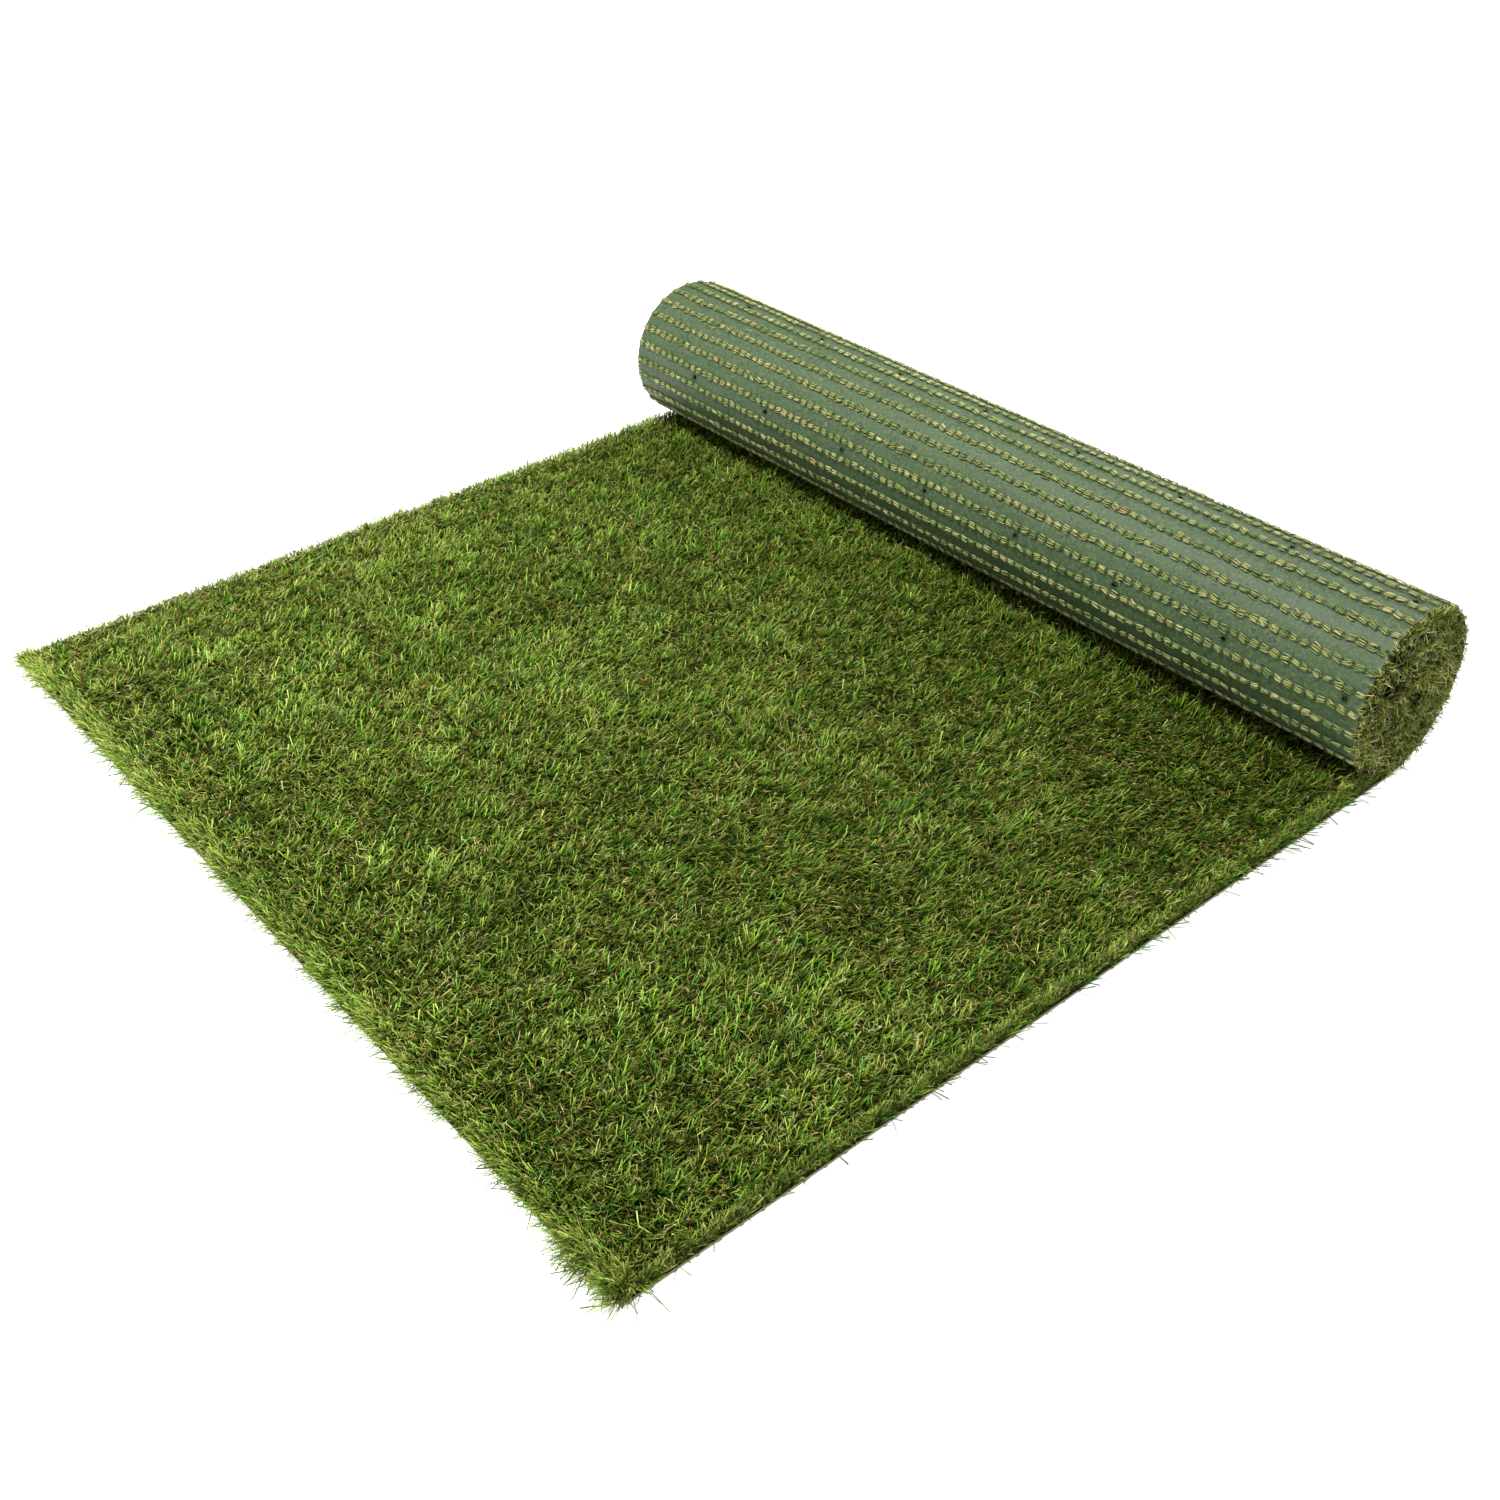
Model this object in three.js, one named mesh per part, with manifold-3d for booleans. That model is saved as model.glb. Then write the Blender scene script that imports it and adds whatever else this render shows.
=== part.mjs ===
// A sheet of artificial grass, partly unrolled. Its front part lies flat on the floor with the pile up,
// and the rest is still rolled up at the far end, with the pile inside and the backing outside.
//
// Millimetres, +Z up. X runs along the roll's axis and across the sheet, and +Y runs along the sheet, from
// its free cut end to the roll. The origin is on the floor, in the middle of the footprint.

import * as THREE from "three";
import { mergeVertices } from "three/addons/utils/BufferGeometryUtils.js";
import Module from "manifold-3d";

// Sheet
const sheetWidth = 1000;
const sheetLength = 2000;
const laidLength = 855; // from the cut end to where the sheet leaves the floor
const backingThickness = 2.5;
const pileHeight = 28; // free height of the tufts, from the backing

// Stitch rows, which stand proud on the back of the sheet and run across it
const rowGauge = 19.05; // three quarters of an inch from row to row
const firstRow = 6; // from the cut end to the middle of the first row
const stitchWidth = 4;
const stitchCrest = 2.4; // flat width along the top of a row
const stitchHeight = 1.2;

// Drainage holes, punched through the backing between two rows
const holeDiameter = 5;
const holePitchAcross = 125;
const firstHoleAcross = 107; // from the sheet's left edge
const rowsBeforeFirstHole = 4;
const rowsBetweenHoles = 6;
const holeSides = 8;

// Roll
const turnPitch = 21; // from one turn of the backing to the next, with the pile pressed between them
const boreRadius = 12; // hollow that is left in the middle
const windingDriftY = 16; // how far the inner turns sit behind the outer ones
const windingDriftZ = -10; // and how far below them
const springAngle = THREE.MathUtils.degToRad(50); // past the sheet's inner end, the freed pile springs out

// Free front edge of the pile
const frontLean = 10; // how far the tufts lean out over the cut end
const frontRound = 12; // how far back the top starts to round off

const clearance = 0.3; // between the pile and any backing beside it
const turnStep = THREE.MathUtils.degToRad(6); // length of one facet of the roll

// What follows from these sizes
const floorOfBacking = stitchHeight; // the stitch rows carry the sheet
const topOfBacking = floorOfBacking + backingThickness;
const footOfPile = topOfBacking + clearance;
const topOfPile = footOfPile + pileHeight;
const pressedPile = turnPitch - backingThickness - stitchHeight - 2 * clearance;
const innerEndRadius = boreRadius + pressedPile + clearance + backingThickness;
const rolledLength = sheetLength - laidLength;
const rollRadius = Math.sqrt(innerEndRadius ** 2 + (turnPitch * rolledLength) / Math.PI);
const lastAngle = (2 * Math.PI * (rollRadius - innerEndRadius)) / turnPitch;

// The winding. Its angle starts at 0 on the floor and grows up the back of the roll, over the top and down
// the front, and the outer face of the backing comes nearer to the axis by one pitch each turn.

function windingRadius(angle) {
  return rollRadius - (turnPitch * angle) / (2 * Math.PI);
}

// Point of the winding in the plane across the roll, moved outwards by offset.
function windingPoint(angle, offset = 0) {
  const share = angle / lastAngle;
  const radius = windingRadius(angle) + offset;
  const y = laidLength + windingDriftY * share + radius * Math.sin(angle);
  const z = floorOfBacking + rollRadius + windingDriftZ * share - radius * Math.cos(angle);
  return new THREE.Vector2(y, z);
}

// Angle of the winding at a distance along the sheet, measured from where the sheet leaves the floor.
function windingAngle(distance) {
  const inner = Math.sqrt(Math.max(0, rollRadius ** 2 - (turnPitch * distance) / Math.PI));
  return (2 * Math.PI * (rollRadius - inner)) / turnPitch;
}

// Point on the back of the sheet at a distance from its cut end, moved out of the backing by offset.
function backPoint(distance, offset = 0) {
  if (distance <= laidLength) return new THREE.Vector2(distance, floorOfBacking - offset);
  return windingPoint(windingAngle(distance - laidLength), offset);
}

// Angles from one end of a stretch of the winding to the other, one facet apart.
function turnAngles(from, to) {
  const steps = Math.max(1, Math.ceil(Math.abs(to - from) / turnStep));
  return Array.from({ length: steps + 1 }, (_, i) => from + ((to - from) * i) / steps);
}

// A closed outline in the plane across the roll, extruded along the roll's axis to the sheet's width.
function extrudeAcross(outline) {
  const settings = { depth: sheetWidth, bevelEnabled: false };
  const solid = new THREE.ExtrudeGeometry(new THREE.Shape(outline), settings);
  const across = new THREE.Matrix4().makeBasis(
    new THREE.Vector3(0, 1, 0),
    new THREE.Vector3(0, 0, 1),
    new THREE.Vector3(1, 0, 0),
  );
  return solid.applyMatrix4(across).translate(-sheetWidth / 2, 0, 0);
}

// Distances of the stitch rows from the cut end.
function rowDistances() {
  const rows = [];
  for (let d = firstRow; d + stitchWidth / 2 < sheetLength; d += rowGauge) rows.push(d);
  return rows;
}

// The back of the sheet, from its cut end to its inner end, with each stitch row as a low rib.
function backFace() {
  const stops = turnAngles(0, lastAngle).map((angle) => {
    const inner = windingRadius(angle);
    return laidLength + (Math.PI * (rollRadius ** 2 - inner ** 2)) / turnPitch;
  });
  const rows = rowDistances();
  const underRow = (d) => rows.some((row) => Math.abs(d - row) < stitchWidth / 2 + clearance);
  const points = [0, ...stops].filter((d) => !underRow(d)).map((d) => ({ d, offset: 0 }));
  for (const row of rows) {
    points.push({ d: row - stitchWidth / 2, offset: 0 });
    points.push({ d: row - stitchCrest / 2, offset: stitchHeight });
    points.push({ d: row + stitchCrest / 2, offset: stitchHeight });
    points.push({ d: row + stitchWidth / 2, offset: 0 });
  }
  return points.sort((a, b) => a.d - b.d).map(({ d, offset }) => backPoint(d, offset));
}

// Section of the backing: its back face with the stitch rows, and its smooth pile side.
function backingOutline() {
  const pileSide = turnAngles(lastAngle, 0).map((angle) => windingPoint(angle, -backingThickness));
  return [...backFace(), ...pileSide, new THREE.Vector2(0, topOfBacking)];
}

// Where the outermost turn, coming down the front of the roll, meets the top of the laid pile.
function touchAngle() {
  const reach = stitchHeight + clearance;
  const height = (angle) => windingPoint(angle, reach).y;
  let low = 1.5 * Math.PI;
  let high = 2 * Math.PI;
  for (let i = 0; i < 40; i++) {
    const middle = (low + high) / 2;
    if (height(middle) > topOfPile) low = middle;
    else high = middle;
  }
  return high;
}

// Free side of the innermost turn's pile. Beside the sheet's inner end it is still pressed flat, and past it
// the tufts spring out towards the middle, as far as the bore.
function boreSidePoint(angle) {
  const pressed = windingPoint(angle + 2 * Math.PI, stitchHeight + clearance);
  const freeHeight = backingThickness + clearance + pileHeight;
  const free = windingPoint(angle, -Math.min(freeHeight, windingRadius(angle) - boreRadius));
  const pastEnd = angle + 2 * Math.PI - lastAngle;
  return pressed.lerp(free, THREE.MathUtils.smoothstep(pastEnd, 0, springAngle));
}

// Section of the pile: over the laid sheet, under the roll, and between its turns as far as the bore.
function pileOutline() {
  const root = backingThickness + clearance;
  const rootSide = turnAngles(0, lastAngle).map((angle) => windingPoint(angle, -root));
  const boreSide = turnAngles(lastAngle, lastAngle - 2 * Math.PI).map(boreSidePoint);
  const underTurns = turnAngles(lastAngle, touchAngle()).map((angle) =>
    windingPoint(angle, stitchHeight + clearance),
  );
  const front = new THREE.CubicBezierCurve(
    new THREE.Vector2(frontRound, topOfPile),
    new THREE.Vector2(-frontLean, topOfPile),
    new THREE.Vector2(-frontLean * 1.8, footOfPile + pileHeight / 3),
    new THREE.Vector2(0, footOfPile),
  );
  return [...rootSide, ...boreSide.slice(0, -1), ...underTurns, ...front.getPoints(8)];
}

// Booleans

const wasm = await Module();
wasm.setup();

function toSolid(geometry) {
  const bare = geometry.clone();
  for (const name of ["normal", "uv"]) bare.deleteAttribute(name);
  const merged = mergeVertices(bare, 1e-4);
  return new wasm.Manifold(
    new wasm.Mesh({
      numProp: 3,
      vertProperties: new Float32Array(merged.attributes.position.array),
      triVerts: new Uint32Array(merged.index.array),
    }),
  );
}

function toGeometry(solid) {
  const mesh = solid.getMesh();
  const geometry = new THREE.BufferGeometry();
  geometry.setAttribute("position", new THREE.BufferAttribute(mesh.vertProperties, 3));
  geometry.setIndex(new THREE.BufferAttribute(mesh.triVerts, 1));
  geometry.computeVertexNormals();
  return geometry;
}

// One punch, standing square to the sheet at a distance from its cut end.
function drainPunch(across, distance) {
  const depth = 2 * (backingThickness + stitchHeight);
  const punch = new THREE.CylinderGeometry(holeDiameter / 2, holeDiameter / 2, depth, holeSides);
  const skin = backPoint(distance);
  const inside = backPoint(distance, -backingThickness);
  const into = new THREE.Vector3(0, inside.x - skin.x, inside.y - skin.y).normalize();
  const turn = new THREE.Quaternion().setFromUnitVectors(new THREE.Vector3(0, 1, 0), into);
  const middle = new THREE.Vector3(across, (skin.x + inside.x) / 2, (skin.y + inside.y) / 2);
  return punch.applyQuaternion(turn).translate(middle.x, middle.y, middle.z);
}

// Every drainage hole: rows of them across the sheet, each row midway between two stitch rows.
function drainPunches() {
  const punches = [];
  const rows = rowDistances();
  for (let i = rowsBeforeFirstHole; i + 1 < rows.length; i += rowsBetweenHoles) {
    const distance = (rows[i] + rows[i + 1]) / 2;
    for (let x = firstHoleAcross; x + holeDiameter < sheetWidth; x += holePitchAcross) {
      punches.push(toSolid(drainPunch(x - sheetWidth / 2, distance)));
    }
  }
  return punches;
}

// Nodes

const latexGreen = new THREE.MeshStandardMaterial({ color: 0x5c7866, roughness: 0.75, metalness: 0 });
const grassGreen = new THREE.MeshStandardMaterial({ color: 0x55702a, roughness: 0.7, metalness: 0 });

function makeBacking() {
  const sheet = toSolid(extrudeAcross(backingOutline()));
  const drained = sheet.subtract(wasm.Manifold.union(drainPunches()));
  const mesh = new THREE.Mesh(toGeometry(drained), latexGreen);
  mesh.name = "backing";
  return mesh;
}

function makePile() {
  const mesh = new THREE.Mesh(extrudeAcross(pileOutline()), grassGreen);
  mesh.name = "pile";
  return mesh;
}

const roll = new THREE.Group();
roll.add(makeBacking(), makePile());

// The outlines start at the cut end, so the whole is moved to put the origin in the middle of the footprint.
const footprint = new THREE.Box3().setFromObject(roll);
roll.position.y = -(footprint.min.y + footprint.max.y) / 2;

export default roll;
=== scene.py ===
"""A sheet of artificial grass, partly unrolled: its looks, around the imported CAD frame.

The front part of the sheet lies flat with its pile up, and the rest is still rolled up at the far end with
The CAD backing stays and gets its latex. The CAD pile is replaced by a bed of thatch, dark with painted
shade, and by the blades and curls that stand in it.

Metres, +Z up, +X along the roll, +Y from the cut end to the roll.
"""

import logging
import math
from dataclasses import dataclass, field
from enum import Enum
from typing import Sequence

import bmesh
import bpy
import numpy as np
from mathutils import Matrix, Vector


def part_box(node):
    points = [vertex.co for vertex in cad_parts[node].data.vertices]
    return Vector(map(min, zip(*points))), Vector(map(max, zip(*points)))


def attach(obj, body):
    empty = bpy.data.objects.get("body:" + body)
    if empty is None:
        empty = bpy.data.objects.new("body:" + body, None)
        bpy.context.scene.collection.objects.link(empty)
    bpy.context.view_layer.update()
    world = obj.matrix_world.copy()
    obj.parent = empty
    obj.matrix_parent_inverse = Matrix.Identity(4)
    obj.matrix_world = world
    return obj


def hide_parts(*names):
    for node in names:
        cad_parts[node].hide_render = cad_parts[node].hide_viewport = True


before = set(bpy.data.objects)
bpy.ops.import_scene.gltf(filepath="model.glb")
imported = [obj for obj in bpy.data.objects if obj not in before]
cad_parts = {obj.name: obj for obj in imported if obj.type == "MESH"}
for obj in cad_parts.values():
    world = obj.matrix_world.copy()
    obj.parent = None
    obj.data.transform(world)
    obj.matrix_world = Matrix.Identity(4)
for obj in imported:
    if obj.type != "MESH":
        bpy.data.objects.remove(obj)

LOG = logging.getLogger("artificial_grass")
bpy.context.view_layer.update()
BAKE_MAP = "OFBake"  # the map that holds a fibre's tone across and its height up
MM = 0.001
Colour = tuple[float, float, float]
Point = tuple[float, float, float]
Range = tuple[float, float]
Settings = dict[str, object]
Inputs = dict[int | str, object]


def srgb(red: float, green: float, blue: float) -> Colour:
    """Turns a colour as a screen shows it, 0 to 255, into the linear colour that shaders take.

    Args:
        red: Red, 0 to 255.
        green: Green, 0 to 255.
        blue: Blue, 0 to 255.

    Returns:
        The linear colour.
    """
    shown = (red / 255, green / 255, blue / 255)
    return tuple(((c + 0.055) / 1.055) ** 2.4 if c > 0.04045 else c / 12.92 for c in shown)


def shades(*shown: tuple[float, float, float, float]) -> tuple[tuple[float, Colour], ...]:
    """A colour ramp's stops, each from its place and its colour as a screen shows it."""
    return tuple((place, srgb(*colour)) for place, *colour in shown)


# Sizes of the sheet and its roll


@dataclass(frozen=True)
class Sheet:
    """Sizes of the sheet, as the CAD model has them, and where its roll winds."""

    width: float = 1.0
    length: float = 2.0
    laid: float = 0.855
    backing: float = 2.5 * MM
    stitch_height: float = 1.2 * MM
    pile: float = 28 * MM
    row_gauge: float = 19.05 * MM
    first_row: float = 6 * MM
    hole_pitch: float = 0.125
    first_hole: float = 0.107
    rows_before_holes: int = 4
    rows_between_holes: int = 6
    turn_pitch: float = 21 * MM
    inner_end_radius: float = 31.5 * MM
    bore_radius: float = 12 * MM
    spring_angle: float = math.radians(50)
    beads: int = 93
    drift: Range = (16 * MM, -10 * MM)
    cut_end: float = field(default_factory=lambda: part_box("backing")[0][1])

    @property
    def roll_radius(self) -> float:
        """Outer radius of the roll, where the sheet leaves the floor."""
        return math.sqrt(self.inner_end_radius**2 + self.turn_pitch * (self.length - self.laid) / math.pi)

    @property
    def last_angle(self) -> float:
        """How far the sheet winds round, in radians."""
        return 2 * math.pi * (self.roll_radius - self.inner_end_radius) / self.turn_pitch

    @property
    def hole_row_pitch(self) -> float:
        """Distance from one row of drainage holes to the next."""
        return self.rows_between_holes * self.row_gauge

    @property
    def first_hole_row(self) -> float:
        """Distance of the first row of drainage holes from the cut end."""
        return self.first_row + (self.rows_before_holes + 0.5) * self.row_gauge

    @property
    def pressed(self) -> float:
        """Height of the pile between two turns."""
        return self.turn_pitch - self.backing - self.stitch_height

    @property
    def top_of_backing(self) -> float:
        """Height of the pile's foot over the floor, on the laid part."""
        return self.stitch_height + self.backing

    def radius(self, angle: np.ndarray) -> np.ndarray:
        """Radius of the backing's outer face at an angle of the winding."""
        return self.roll_radius - self.turn_pitch * angle / (2 * math.pi)

    def point(self, angle: np.ndarray, offset: np.ndarray | float = 0.0) -> tuple[np.ndarray, np.ndarray]:
        """Place of the winding in the plane across the roll.

        Args:
            angle: Angle from the floor, up the back, over the top and down the front, in radians.
            offset: How far outside the backing's outer face.

        Returns:
            Y and Z in the row frame.
        """
        share = angle / self.last_angle
        reach = self.radius(angle) + offset
        y = self.cut_end + self.laid + self.drift[0] * share + reach * np.sin(angle)
        z = self.stitch_height + self.roll_radius + self.drift[1] * share - reach * np.cos(angle)
        return y, z

    def angle_at(self, distance: np.ndarray) -> np.ndarray:
        """Angle of the winding at a distance past where the sheet leaves the floor."""
        inner = np.sqrt(self.roll_radius**2 - self.turn_pitch * distance / math.pi)
        return (self.roll_radius - inner) * 2 * math.pi / self.turn_pitch

    def pile_reach(self, angle: np.ndarray) -> np.ndarray:
        """How far inside the backing's outer face the rolled pile reaches, at an angle of the winding."""
        past_end = np.clip((angle + 2 * math.pi - self.last_angle) / self.spring_angle, 0, 1)
        free = np.minimum(self.backing + self.pile, self.radius(angle) - self.bore_radius)
        return (self.backing + self.pressed) + (free - self.backing - self.pressed) * past_end

    def room(self, y: np.ndarray) -> np.ndarray:
        """Height that the roll leaves free over the laid part, at places along the sheet."""
        under_y, under_z = self.point(np.linspace(1.5 * math.pi, 2 * math.pi, 200), self.stitch_height)
        return np.interp(y, under_y, under_z, left=1.0)


class Noise:
    """Smooth random field over a plane, which every scatter reads for its patches."""

    def __init__(self, rng: np.random.Generator, cell: float, cells: int = 96) -> None:
        """Draws the field's grid.

        Args:
            rng: Where the random numbers come from.
            cell: Distance between two grid points, in metres.
            cells: Grid points each way, after which the field repeats.
        """
        self.cell = cell
        self.cells = cells
        self.grid = rng.standard_normal((cells, cells))

    def __call__(self, x: np.ndarray, y: np.ndarray) -> np.ndarray:
        """The field at points of the plane.

        Args:
            x: First coordinates.
            y: Second coordinates.

        Returns:
            About normal values, which change smoothly from cell to cell.
        """
        u, v = x / self.cell + 500, y / self.cell + 500
        i, j = np.floor(u).astype(int), np.floor(v).astype(int)
        fu, fv = u - i, v - j
        su, sv = fu * fu * (3 - 2 * fu), fv * fv * (3 - 2 * fv)
        grid, n = self.grid, self.cells
        low = grid[i % n, j % n] * (1 - su) + grid[(i + 1) % n, j % n] * su
        high = grid[i % n, (j + 1) % n] * (1 - su) + grid[(i + 1) % n, (j + 1) % n] * su
        return low * (1 - sv) + high * sv


# Shader building


class Value:
    """A number that varies over a surface, held as the socket it comes out of."""

    def __init__(self, paint: "Paint", socket: bpy.types.NodeSocket) -> None:
        """Wraps a socket.

        Args:
            paint: The material it belongs to.
            socket: The output socket.
        """
        self.paint = paint
        self.socket = socket

    def math(self, operation: str, *others: "Value | float", flip: bool = False) -> "Value":
        """One Math node on this value.

        Args:
            operation: The Math node's operation.
            others: The other operands.
            flip: Whether this value comes second.

        Returns:
            The result.
        """
        operands = [self, *others]
        if flip:
            operands.reverse()
        return self.paint.value("ShaderNodeMath", {"operation": operation}, dict(enumerate(operands)))

    def __add__(self, other: "Value | float") -> "Value":
        """This value plus another."""
        return self.math("ADD", other)

    def __radd__(self, other: float) -> "Value":
        """A number plus this value."""
        return self.math("ADD", other)

    def __sub__(self, other: "Value | float") -> "Value":
        """This value less another."""
        return self.math("SUBTRACT", other)

    def __rsub__(self, other: float) -> "Value":
        """A number less this value."""
        return self.math("SUBTRACT", other, flip=True)

    def __mul__(self, other: "Value | float") -> "Value":
        """This value times another."""
        return self.math("MULTIPLY", other)

    def __rmul__(self, other: float) -> "Value":
        """A number times this value."""
        return self.math("MULTIPLY", other)

    def band(self, low: float, high: float) -> "Value":
        """Where this value runs from low to high, as a smooth 0 to 1."""
        inputs = {"Value": self, "From Min": low, "From Max": high}
        return self.paint.value("ShaderNodeMapRange", {"interpolation_type": "SMOOTHSTEP"}, inputs)


class Paint:
    """One material, with the few calls that its nodes are made by."""

    def __init__(self, name: str) -> None:
        """Starts a material with nothing but its shader and its output.

        Args:
            name: The material's name.
        """
        self.material = bpy.data.materials.new(name)
        self.material.use_nodes = True
        self.tree = self.material.node_tree
        self.shader = self.tree.nodes["Principled BSDF"]

    def node(self, kind: str, settings: Settings, inputs: Inputs) -> bpy.types.Node:
        """Makes a node.

        Args:
            kind: The node's type.
            settings: What is set on the node itself. stops are a colour ramp's.
            inputs: A number, a colour or a Value for each socket.

        Returns:
            The node.
        """
        made = self.tree.nodes.new(kind)
        for name, setting in settings.items():
            if name == "stops":
                self._set_stops(made.color_ramp, setting)
            else:
                setattr(made, name, setting)
        for key, given in inputs.items():
            self.plug(made.inputs[key], given)
        return made

    @staticmethod
    def _set_stops(ramp: bpy.types.ColorRamp, stops: Sequence[tuple[float, Colour]]) -> None:
        """Gives a colour ramp its stops.

        Args:
            ramp: The ramp.
            stops: Place and colour of each stop.
        """
        while len(ramp.elements) < len(stops):
            ramp.elements.new(1.0)
        for element, (place, colour) in zip(ramp.elements, stops):
            element.position = place
            element.color = (*colour, 1.0)

    def plug(self, socket: bpy.types.NodeSocket, given: object) -> None:
        """Links a Value to a socket, or sets the socket to a number or a colour.

        Args:
            socket: The input socket.
            given: The Value, number or colour.
        """
        if isinstance(given, Value):
            self.tree.links.new(given.socket, socket)
        elif isinstance(given, tuple) and socket.type == "RGBA" and len(given) == 3:
            socket.default_value = (*given, 1.0)
        else:
            socket.default_value = given

    def value(self, kind: str, settings: Settings, inputs: Inputs, output: int | str = 0) -> Value:
        """Makes a node and gives one of its outputs."""
        return Value(self, self.node(kind, settings, inputs).outputs[output])

    def mix(self, share: Value | float, first: Value | Colour, second: Value | Colour) -> Value:
        """Mixes two colours.

        Args:
            share: How much of the second.
            first: The first colour.
            second: The second colour.

        Returns:
            The mixed colour.
        """
        return self.value("ShaderNodeMix", {"data_type": "RGBA"}, {"Factor": share, 6: first, 7: second}, 2)

    def noise(self, at: Value, scale: float, detail: float = 2.0, roughness: float = 0.5) -> Value:
        """Noise over a surface, about 0.5 on average, with features of about 1 / scale metres."""
        inputs = {"Vector": at, "Scale": scale, "Detail": detail, "Roughness": roughness}
        return self.value("ShaderNodeTexNoise", {}, inputs)

    def place(self) -> Value:
        """Object coordinates, which are the row frame's on every piece."""
        return self.value("ShaderNodeTexCoord", {}, {}, "Object")

    def split(self, vector: Value) -> tuple[Value, Value, Value]:
        """X, Y and Z of a vector."""
        made = self.node("ShaderNodeSeparateXYZ", {}, {0: vector})
        return tuple(Value(self, made.outputs[i]) for i in range(3))

    def bump(self, height: Value, distance: float, strength: float = 1.0) -> Value:
        """A normal that tilts with a height."""
        inputs = {"Height": height, "Distance": distance, "Strength": strength}
        return self.value("ShaderNodeBump", {}, inputs)

    def set(self, **sockets: object) -> None:
        """Sets or links the shader's sockets, named with _ for a space."""
        for name, given in sockets.items():
            self.plug(self.shader.inputs[name.replace("_", " ")], given)


# Finishes


@dataclass(frozen=True)
class LatexFinish:
    """Grey-green latex with a fine grain, yarn on the ribs and a dark cut edge, with painted shade along the
    stitch rows and on the inner turns, and the cut edge painted lighter near the floor.
    """

    sheet: Sheet
    mid: Colour = srgb(59, 81, 48)
    pale: Colour = srgb(99, 117, 77)
    deep: Colour = srgb(35, 62, 30)
    speck: Colour = srgb(30, 42, 28)
    # Painted shade along the stitch rows, which shows beside the beads and in the gaps between them.
    row_shade: Colour = srgb(42, 52, 26)
    yarn: Colour = srgb(108, 112, 66)
    # cut is the dark colour of the cut edge; on the inner turns it is painted shade.
    cut: Colour = srgb(40, 34, 22)
    # Painted light: the laid sheet's cut edge, low by the floor, is painted paler than the same edge up on
    # the roll.
    cut_edge_painted_light: Colour = srgb(150, 138, 114)

    def distance(self, y: Value, z: Value) -> tuple[Value, Value]:
        """How far along the sheet a point of it lies, and how deep in the roll.

        The first holds on the laid part and on the outer turn.

        Args:
            y: The point's place in the row frame.
            z: Its height.

        Returns:
            The distance from the cut end along the sheet, and the depth under the outer turn's back.
        """
        sheet = self.sheet
        start = sheet.cut_end + sheet.laid
        middle = sheet.stitch_height + sheet.roll_radius
        moved = self._angle(y - start, middle - z) * (1 / sheet.last_angle)
        across = y - start - moved * sheet.drift[0]
        down = middle - z + moved * sheet.drift[1]
        angle = self._angle(across, down)
        along = angle * sheet.roll_radius - angle * angle * (sheet.turn_pitch / (4 * math.pi)) + sheet.laid
        laid = (y - start).math("LESS_THAN", 0.0) * z.math("LESS_THAN", sheet.top_of_backing + MM)
        reach = (across * across + down * down).math("SQRT")
        depth = sheet.roll_radius - angle * (sheet.turn_pitch / (2 * math.pi)) - reach
        return laid * (y - sheet.cut_end) + (1 - laid) * along, depth

    @staticmethod
    def centred(count: Value) -> Value:
        """1 where a running count is whole, and 0 halfway between."""
        return (count.math("FRACT") - 0.5).math("ABSOLUTE") * 2

    def from_nearest(self, place: Value, pitch: float) -> Value:
        """Distance from the nearest of marks that lie a pitch apart."""
        return (1 - self.centred(place * (1 / pitch))) * (0.5 * pitch)

    @staticmethod
    def _angle(across: Value, down: Value) -> Value:
        """Angle round the roll, from 0 on the floor up the back and round to a whole turn."""
        turned = across.math("ARCTAN2", down)
        return turned + turned.math("LESS_THAN", 0.0) * (2 * math.pi)

    def make(self) -> bpy.types.Material:
        """Makes the material.

        Returns:
            The material.
        """
        sheet = self.sheet
        paint = Paint("latex_backing")
        at = paint.place()
        x, y, z = paint.split(at)
        distance, depth = self.distance(y, z)
        near_row = self.centred((distance - sheet.first_row) * (1 / sheet.row_gauge))
        along = self.from_nearest(distance - sheet.first_hole_row, sheet.hole_row_pitch)
        across = self.from_nearest(x + sheet.width / 2 - sheet.first_hole, sheet.hole_pitch)
        from_hole = (along * along + across * across).math("SQRT")
        between_beads = self.centred((x + sheet.width / 2) * (sheet.beads / sheet.width))
        grain = paint.noise(at, 360.0, 3.0, 0.7)
        specks = paint.noise(at, 240.0, 2.0, 0.6).band(0.58, 0.68)
        smears = paint.noise(at, 34.0, 3.0, 0.55).band(0.35, 0.72)
        colour = paint.mix(smears * 0.35, self.mid, self.deep)
        colour = paint.mix(grain.band(0.46, 0.68) * 0.6, colour, self.pale)
        colour = paint.mix(specks * 0.7, colour, self.speck)
        # Painted shade in a band along each stitch row; on the rib it stays in the gaps between the beads.
        colour = paint.mix(near_row.band(0.7, 0.84) * 0.8, colour, self.row_shade)
        on_rib = near_row.band(0.84, 0.9) * (1 - between_beads.band(0.8, 0.92))
        colour = paint.mix(on_rib, colour, self.yarn)
        # Darker round each drainage hole, out to about 6.5 mm.
        hole_darkening = (1 - (from_hole + smears * 2 * MM).band(3 * MM, 6.5 * MM)) * 0.75
        colour = paint.mix(hole_darkening, colour, self.speck)
        end = sheet.width / 2
        cut_face = x.math("ABSOLUTE").band(end - 0.4 * MM, end - 0.2 * MM)
        # Painted shade on the inner turns: latex deeper than 2 to 4 mm under the outer turn's back takes the
        # dark cut colour.
        inside = depth.band(2 * MM, 4 * MM)
        colour = paint.mix(inside, colour, self.cut)
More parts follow.
